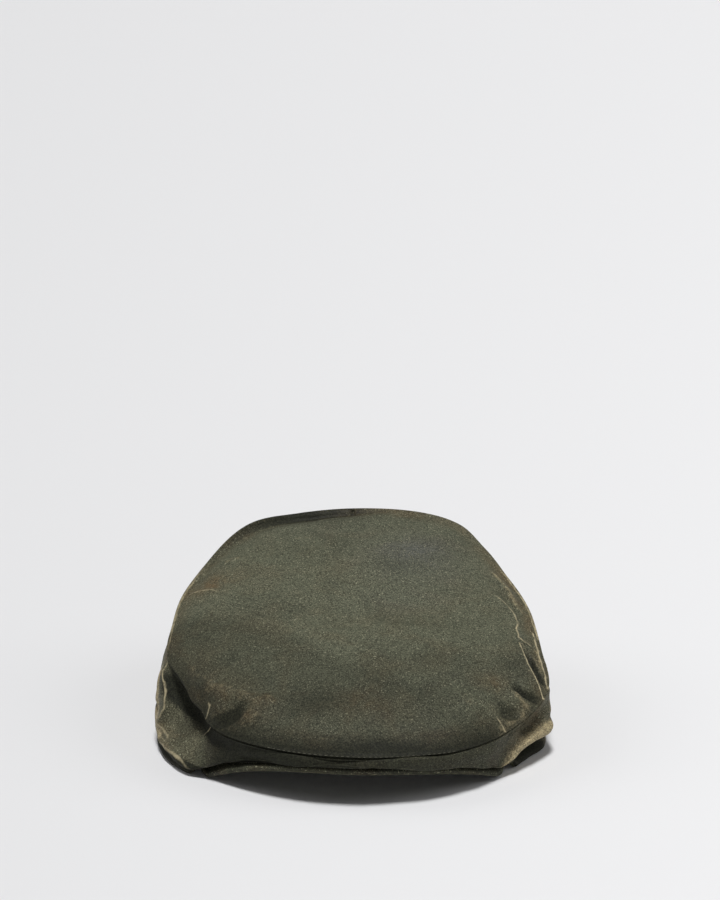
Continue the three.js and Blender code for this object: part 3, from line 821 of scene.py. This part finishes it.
def makeStitchTree():
    tree = bpy.data.node_groups.new("stitchRow", "GeometryNodeTree")
    sockets = {}
    for name, kind in (("Geometry", "Geometry"), ("Spacing", "Float"), ("Length", "Float"),
                       ("Thickness", "Float"), ("Uneven", "Float"), ("Thread", "Material")):
        socket = tree.interface.new_socket(name, in_out="INPUT", socket_type="NodeSocket" + kind)
        sockets[name] = socket.identifier
    tree.interface.new_socket("Geometry", in_out="OUTPUT", socket_type="NodeSocketGeometry")
    start = tree.nodes.new("NodeGroupInput")
    resample = tree.nodes.new("GeometryNodeResampleCurve")
    resample.mode = "LENGTH"
    ball = tree.nodes.new("GeometryNodeMeshIcoSphere")
    ball.inputs["Radius"].default_value = 0.5
    ball.inputs["Subdivisions"].default_value = 2
    size = tree.nodes.new("ShaderNodeCombineXYZ")
    shape = tree.nodes.new("GeometryNodeTransform")
    tangent = tree.nodes.new("GeometryNodeInputTangent")
    turn = tree.nodes.new("FunctionNodeAlignRotationToVector")
    turn.axis = "X"
    chance = tree.nodes.new("FunctionNodeRandomValue")
    chance.inputs["Seed"].default_value = 4
    chance.inputs[3].default_value = 1.0
    least = tree.nodes.new("ShaderNodeMath")
    least.operation = "SUBTRACT"
    least.inputs[0].default_value = 1.0
    place = tree.nodes.new("GeometryNodeInstanceOnPoints")
    real = tree.nodes.new("GeometryNodeRealizeInstances")
    soft = tree.nodes.new("GeometryNodeSetShadeSmooth")
    dress = tree.nodes.new("GeometryNodeSetMaterial")
    end = tree.nodes.new("NodeGroupOutput")
    for source, output, target, socket in (
        (start, "Geometry", resample, "Curve"), (start, "Spacing", resample, "Length"),
        (start, "Length", size, "X"), (start, "Thickness", size, "Y"),
        (start, "Thickness", size, "Z"), (ball, "Mesh", shape, "Geometry"),
        (size, "Vector", shape, "Scale"), (start, "Uneven", least, 1),
        (least, 0, chance, 2), (tangent, "Tangent", turn, "Vector"),
        (resample, "Curve", place, "Points"), (shape, "Geometry", place, "Instance"),
        (turn, "Rotation", place, "Rotation"), (chance, 1, place, "Scale"),
        (place, "Instances", real, "Geometry"), (real, "Geometry", soft, "Geometry"),
        (soft, "Geometry", dress, "Geometry"), (start, "Thread", dress, "Material"),
        (dress, "Geometry", end, "Geometry"),
    ):
        tree.links.new(source.outputs[output], target.inputs[socket])
    return tree, sockets


def stitchAlong(name, points, closed=False):
    curve = bpy.data.curves.new(name, "CURVE")
    curve.dimensions = "3D"
    spline = curve.splines.new("POLY")
    places = placed(points)
    spline.points.add(len(places) - 1)
    spline.points.foreach_set("co", np.concatenate([places, np.ones((len(places), 1))], axis=1).ravel())
    spline.use_cyclic_u = closed
    path = addObject(name + "_path", curve)
    sew = path.modifiers.new("sew", "NODES")
    sew.node_group = stitchTree
    for size, value in stitchLook["sizes"].items():
        sew[stitchSockets[size]] = value * mm
    sew[stitchSockets["Uneven"]] = stitchLook["uneven"]
    sew[stitchSockets["Thread"]] = thread
    bpy.context.view_layer.update()
    mesh = finishedMesh(path)
    bpy.data.objects.remove(path)
    mesh.name = name
    return addObject(name, mesh)


# materials
def newGroup(name, inputs, outputs):
    group = bpy.data.node_groups.new(name, "ShaderNodeTree")
    for socketName, kind in inputs:
        group.interface.new_socket(socketName, in_out="INPUT", socket_type="NodeSocket" + kind)
    for socketName in outputs:
        group.interface.new_socket(socketName, in_out="OUTPUT", socket_type="NodeSocketFloat")
    return group, group.nodes.new("NodeGroupInput").outputs, group.nodes.new("NodeGroupOutput").inputs


def newMaterial(name):
    material = bpy.data.materials.new(name)
    material.use_nodes = True
    tree = material.node_tree
    return material, tree, tree.nodes["Principled BSDF"]


def feed(tree, socket, value):
    # a number or a colour is set on the socket, and an output is linked to it
    if isinstance(value, (int, float)):
        socket.default_value = value
    elif isinstance(value, tuple):
        socket.default_value = (*value, 1.0)
    else:
        tree.links.new(value, socket)


def mathNode(tree, operation, *values):
    node = tree.nodes.new("ShaderNodeMath")
    node.operation = operation
    for socket, value in zip(node.inputs, values):
        feed(tree, socket, value)
    return node.outputs[0]


def times(tree, first, second):
    return mathNode(tree, "MULTIPLY", first, second)


def plus(tree, first, second):
    return mathNode(tree, "ADD", first, second)


def swing(tree, noise, amount):
    # a noise from 0 to 1, made to swing about 0
    return times(tree, mathNode(tree, "SUBTRACT", noise, 0.5), amount)


def markNode(tree, name):
    node = tree.nodes.new("ShaderNodeAttribute")
    node.attribute_name = name
    return node.outputs["Fac"]


def objectPlace(tree):
    return tree.nodes.new("ShaderNodeTexCoord").outputs["Object"]


def noiseNode(tree, vector, scale, detail=2.0, roughness=0.5, distortion=0.0):
    node = tree.nodes.new("ShaderNodeTexNoise")
    for socket, value in (("Vector", vector), ("Scale", scale), ("Detail", detail),
                          ("Roughness", roughness), ("Distortion", distortion)):
        feed(tree, node.inputs[socket], value)
    return node.outputs["Fac"]


def rampNode(tree, value, low, high, toLow=0.0, toHigh=1.0):
    node = tree.nodes.new("ShaderNodeMapRange")
    node.interpolation_type = "SMOOTHSTEP"
    for socket, number in (("Value", value), ("From Min", low), ("From Max", high),
                           ("To Min", toLow), ("To Max", toHigh)):
        feed(tree, node.inputs[socket], number)
    return node.outputs["Result"]


def mixColour(tree, share, first, second, blend="MIX"):
    node = tree.nodes.new("ShaderNodeMix")
    node.data_type = "RGBA"
    node.blend_type = blend
    node.clamp_result = False
    for socket, value in ((0, share), (6, first), (7, second)):
        feed(tree, node.inputs[socket], value)
    return node.outputs[2]


def useGroup(tree, group, values):
    node = tree.nodes.new("ShaderNodeGroup")
    node.node_tree = group
    for name, value in values.items():
        feed(tree, node.inputs[name], value)
    return node.outputs


def makeWeaveGroup():
    # plain weave of two sets of threads that wander a little, and the uneven grain of the yarn
    inputs = [("Cloth", "Vector"), ("Place", "Vector"), ("Threads per metre", "Float")]
    group, given, result = newGroup("plainWeave", inputs, ["Height", "Grain"])
    bend = times(group, noiseNode(group, given["Cloth"], 260.0, 1.0), 0.0016)
    split = group.nodes.new("ShaderNodeSeparateXYZ")
    group.links.new(given["Cloth"], split.inputs[0])
    waves = []
    for axis in ("X", "Y"):
        turns = times(group, plus(group, split.outputs[axis], bend), given["Threads per metre"])
        waves.append(mathNode(group, "SINE", times(group, turns, math.pi)))
    group.links.new(mathNode(group, "ABSOLUTE", times(group, *waves)), result["Height"])
    yarn = noiseNode(group, given["Place"], 1400.0, 1.0, 0.6)
    knots = group.nodes.new("ShaderNodeTexVoronoi")
    knots.inputs["Scale"].default_value = 1700.0
    group.links.new(given["Place"], knots.inputs["Vector"])
    knotTone = group.nodes.new("ShaderNodeSeparateColor")
    group.links.new(knots.outputs["Color"], knotTone.inputs["Color"])
    grain = plus(group, times(group, yarn, 0.55), times(group, knotTone.outputs["Red"], 0.45))
    group.links.new(grain, result["Grain"])
    return group


def makeStainGroup():
    # broad uneven patches, as wax and wear leave them
    inputs = [("Place", "Vector"), ("Scale", "Float"), ("Low", "Float"), ("High", "Float")]
    group, given, result = newGroup("waxPatches", inputs, ["Mask"])
    patch = noiseNode(group, given["Place"], given["Scale"], 4.0, 0.6, 0.6)
    group.links.new(rampNode(group, patch, given["Low"], given["High"]), result["Mask"])
    return group


weaveGroup = makeWeaveGroup()
stainGroup = makeStainGroup()

waxedLook = {
    "base": (0.094, 0.098, 0.065),
    "dark": (0.072, 0.075, 0.050),
    "brown": (0.120, 0.081, 0.041),
    "blueGrey": (0.098, 0.102, 0.088),
    "tan": (0.38, 0.314, 0.186),
    "line": (0.44, 0.38, 0.24),
    "fleck": (0.32, 0.31, 0.21),
    # the near-black colour that painted shade darkens towards
    "waxed": (0.014, 0.015, 0.009),
    "darkPatches": {"Scale": 17.0, "Low": 0.46, "High": 0.66},
    "brownPatches": {"Scale": 34.0, "Low": 0.40, "High": 0.70},
    "threadsPerMetre": 1450.0,
    "crumple": 130.0,  # this and the next two are noise scales
    "wearGrain": 300.0,
    "speckGrain": 1150.0,
    "shadeDarkening": 0.95,
    "wornAmount": 0.85,
    "roughness": 0.62,
    "specular": 0.15,
    "sheen": 0.02,
    "bump": 0.55,
    "bumpDepth": 0.0009,
}
# the peak's cloth is the same waxed cotton in a darker copy, as painted shade on its forward-facing edge
peakShadedLook = {**waxedLook, "base": (0.043, 0.045, 0.029), "dark": (0.027, 0.028, 0.019), "wornAmount": 0.35}


def clothMaterial(name, look):
    material, tree, shader = newMaterial(name)
    place = objectPlace(tree)
    clothUv = tree.nodes.new("ShaderNodeUVMap")
    clothUv.uv_map = "cloth"
    wearAndHighlight, paintedShade, aged, cool, creaseWearAndHighlight, creaseSide = (
        markNode(tree, mark) for mark in ("wearAndHighlight", "paintedShade", "aged", "cool", "creaseWearAndHighlight", "creaseSide")
    )
    weave = useGroup(tree, weaveGroup, {
        "Cloth": clothUv.outputs["UV"], "Place": place, "Threads per metre": look["threadsPerMetre"],
    })
    darkPatch = useGroup(tree, stainGroup, {"Place": place, **look["darkPatches"]})["Mask"]
    brownPatch = useGroup(tree, stainGroup, {"Place": place, **look["brownPatches"]})["Mask"]
    colour = mixColour(tree, darkPatch, look["base"], look["dark"])
    spotty = plus(tree, times(tree, brownPatch, 0.8), 0.5)
    browning = plus(tree, times(tree, aged, spotty), times(tree, brownPatch, 0.18))
    colour = mixColour(tree, browning, colour, look["brown"])
    colour = mixColour(tree, times(tree, cool, spotty), colour, look["blueGrey"])
    # painted shade: where the mesh marks it, the colour is darkened towards a near-black colour
    waxed = times(tree, paintedShade, look["shadeDarkening"])
    colour = mixColour(tree, waxed, colour, look["waxed"])
    # worn creases, and facets painted pale as highlights, turn pale and tan, broken up by the weave
    broken = noiseNode(tree, place, look["wearGrain"], 4.0, 0.7)
    wearing = rampNode(tree, plus(tree, wearAndHighlight, swing(tree, broken, 1.4)), 0.3, 1.3)
    colour = mixColour(tree, times(tree, wearing, look["wornAmount"]), colour, look["tan"])
    # yarn grain darkens and lightens, and a few pale specks show where wax has left the high threads, fewer
    # in the painted shade
    grainShade = rampNode(tree, weave["Grain"], 0.25, 0.75, 0.45, 1.46)
    colour = mixColour(tree, 1.0, colour, grainShade, "MULTIPLY")
    specks = rampNode(tree, noiseNode(tree, place, look["speckGrain"], 1.0, 0.5), 0.63, 0.71)
    unshaded = times(tree, mathNode(tree, "SUBTRACT", 1.0, waxed), 0.9)
    colour = mixColour(tree, times(tree, specks, unshaded), colour, look["fleck"])
    # a fine pale line runs along each sharp crease: wear, and along the side edges a painted highlight too
    shake = swing(tree, noiseNode(tree, place, look["crumple"], 3.0, 0.6), 2.4)
    offLine = mathNode(tree, "ABSOLUTE", plus(tree, creaseSide, shake))
    creaseLine = times(tree, rampNode(tree, offLine, 0.1, 0.85, 1.0, 0.0), creaseWearAndHighlight)
    frayed = rampNode(tree, broken, 0.3, 0.6, 0.25, 1.0)
    colour = mixColour(tree, times(tree, creaseLine, frayed), colour, look["line"])
    tree.links.new(colour, shader.inputs["Base Color"])
    roughness = rampNode(tree, darkPatch, 0.0, 1.0, look["roughness"] + 0.05, look["roughness"] - 0.1)
    tree.links.new(roughness, shader.inputs["Roughness"])
    shader.inputs["Specular IOR Level"].default_value = look["specular"]
    shader.inputs["Sheen Weight"].default_value = look["sheen"]
    shader.inputs["Sheen Roughness"].default_value = 0.4
    shader.inputs["Sheen Tint"].default_value = (0.75, 0.78, 0.6, 1)
    # the weave, the yarn, a slight crumple and the creases raise the cloth
    relief = plus(tree, times(tree, weave["Height"], 0.12), times(tree, weave["Grain"], 0.25))
    crumpled = noiseNode(tree, place, look["crumple"], 3.0, 0.55)
    relief = plus(tree, relief, times(tree, crumpled, 0.5))
    pinch = times(tree, rampNode(tree, offLine, 0.0, 2.0, 1.0, 0.0), creaseWearAndHighlight)
    relief = plus(tree, relief, times(tree, pinch, 0.6))
    bump = tree.nodes.new("ShaderNodeBump")
    bump.inputs["Strength"].default_value = look["bump"]
    bump.inputs["Distance"].default_value = look["bumpDepth"]
    tree.links.new(relief, bump.inputs["Height"])
    tree.links.new(bump.outputs["Normal"], shader.inputs["Normal"])
    return material


def threadMaterial(name, colour):
    material, tree, shader = newMaterial(name)
    shade = rampNode(tree, noiseNode(tree, objectPlace(tree), 1800.0, 2.0), 0.3, 0.7, 0.7, 1.3)
    tree.links.new(mixColour(tree, 1.0, colour, shade, "MULTIPLY"), shader.inputs["Base Color"])
    shader.inputs["Roughness"].default_value = 0.6
    return material


waxedCotton = clothMaterial("waxedCotton", waxedLook)
peakShadedCotton = clothMaterial("peakShadedCotton", peakShadedLook)
thread = threadMaterial("thread", (0.075, 0.073, 0.05))
for piece in (topPanel, leftPanel, rightPanel):
    piece.data.materials.append(waxedCotton)
peakPiece.data.materials.append(peakShadedCotton)
print("materials made")

stitchTree, stitchSockets = makeStitchTree()


def seamPath():
    seam = stitchLook["seam"]
    at = np.linspace(seam["from"], seam["to"], 200)
    return pointsAt(at, column("seamR", at) + seam["out"], column("seamZ", at) + seam["up"])


def hemPath():
    hem = stitchLook["hem"]
    at = np.linspace(0, 360, 721)[:-1]
    r = hemRadius(at)
    return pointsAt(at, r - hem["in"], restingHeight(at, r + headHole["foot"]) + hem["up"])


def peakPath():
    edge = stitchLook["peak"]
    at = np.linspace(peakForm["middle"] - edge["reach"], peakForm["middle"] + edge["reach"], 300)
    r = peakRadius(at) - edge["in"]
    return pointsAt(at, r, peakUnder(*polar(at, r)) - edge["down"])


stitches = [
    stitchAlong("seam_stitches", seamPath()),
    stitchAlong("hem_stitches", hemPath(), closed=True),
    stitchAlong("peak_stitches", peakPath()),
]
print("stitches:", [len(row.data.polygons) for row in stitches])

for piece, nodes, slot in (
    (topPanel, ("top_panel",), "waxed_cotton"),
    (leftPanel, ("side_panel_left",), "waxed_cotton"),
    (rightPanel, ("side_panel_right",), "waxed_cotton"),
    (peakPiece, ("peak",), "peak_cotton"),
):
    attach(piece, "root")
    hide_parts(*nodes)
for row in stitches:
    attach(row, "root")

# the room: a pale table, a wide soft light overhead and the camera where the photograph was taken
room = {
    "floorSize": 16.0,
    "floorColour": (0.80, 0.80, 0.81),
    "paintedFloorLight": 0.045,  # painted light: how much lighter the table is on its right side than in the middle
    "paintedLightFan": {"start": 1.47, "least": 0.3, "spread": 6.9, "limit": 1.2},  # how that painted light spreads to the back
    "lights": {
        "overhead": {"from": (0.0, -0.2, 1.0), "spread": 14.0, "strength": 2.55},
        "left": {"from": (-1.0, 0.2, 0.75), "spread": 40.0, "strength": 0.4},
        "right": {"from": (1.0, 0.0, 0.75), "spread": 40.0, "strength": 0.45},
        "front": {"from": (0.1, -1.0, 0.1), "spread": 40.0, "strength": 0.24},
    },
    "world": 0.1,
}


def makeFloor():
    half = room["floorSize"] / 2
    mesh = bpy.data.meshes.new("table")
    corners = [(-half, -half, 0), (half, -half, 0), (half, half, 0), (-half, half, 0)]
    mesh.from_pydata(corners, [], [(0, 1, 2, 3)])
    floor = addObject("table", mesh)
    material, tree, shader = newMaterial("paleTable")
    split = tree.nodes.new("ShaderNodeSeparateXYZ")
    tree.links.new(objectPlace(tree), split.inputs[0])
    # painted light: the table grows lighter from left to right, in a fan that widens towards the back
    fan = room["paintedLightFan"]
    away = mathNode(tree, "MAXIMUM", plus(tree, split.outputs["Y"], fan["start"]), fan["least"])
    across = times(tree, mathNode(tree, "DIVIDE", split.outputs["X"], away), fan["spread"])
    across = mathNode(tree, "MAXIMUM", mathNode(tree, "MINIMUM", across, fan["limit"]), -fan["limit"])
    tone = mathNode(tree, "MULTIPLY_ADD", across, room["paintedFloorLight"], 1.0)
    tree.links.new(mixColour(tree, 1.0, room["floorColour"], tone, "MULTIPLY"), shader.inputs["Base Color"])
    shader.inputs["Roughness"].default_value = 0.7
    shader.inputs["Specular IOR Level"].default_value = 0.2
    mesh.materials.append(material)


def turnTo(made, direction):
    made.rotation_mode = "QUATERNION"
    made.rotation_quaternion = direction.to_track_quat("-Z", "Y")


def makeLight(name, settings):
    lamp = bpy.data.lights.new(name, "SUN")
    lamp.angle = math.radians(settings["spread"])
    lamp.energy = settings["strength"]
    light = addObject(name, lamp)
    light.location = settings["from"]
    turnTo(light, -Vector(settings["from"]))


photoCamera = {
    "elevation": 20.0,
    "distance": 1560.0,
    "looksAtZ": 45.0,
    "focalPixels": 2500.0,
    "framePixels": (720, 900),
    "seenAt": (355.0, 654.0),
    "sensor": 36.0,
}


def makeCamera():
    wide, tall = photoCamera["framePixels"]
    focal = photoCamera["focalPixels"]
    seenX, seenY = photoCamera["seenAt"]
    elevation = math.radians(photoCamera["elevation"])
    pitch = elevation - math.atan((seenY - tall / 2) / focal)
    yaw = math.atan((seenX - wide / 2) / focal)
    lens = bpy.data.cameras.new("camera")
    lens.sensor_width = photoCamera["sensor"]
    lens.lens = focal / tall * photoCamera["sensor"]
    lens.clip_start, lens.clip_end = 0.05, 60.0
    camera = addObject("camera", lens)
    back = photoCamera["distance"]
    camera.location = Vector((
        cap["shift"][0],
        cap["shift"][1] - back * math.cos(elevation),
        photoCamera["looksAtZ"] + back * math.sin(elevation),
    )) * mm
    look = Vector((-math.sin(yaw) * math.cos(pitch), math.cos(yaw) * math.cos(pitch), -math.sin(pitch)))
    turnTo(camera, look)
    bpy.context.scene.camera = camera


def makeWorld():
    world = bpy.data.worlds.new("studio")
    world.use_nodes = True
    background = world.node_tree.nodes["Background"]
    background.inputs["Color"].default_value = (1, 1, 1, 1)
    background.inputs["Strength"].default_value = room["world"]
    bpy.context.scene.world = world


makeFloor()
for name, settings in room["lights"].items():
    makeLight(name, settings)
makeCamera()
makeWorld()
bpy.context.scene.view_settings.view_transform = "Standard"
bpy.context.scene.view_settings.look = "None"
print("table, lights and camera placed")
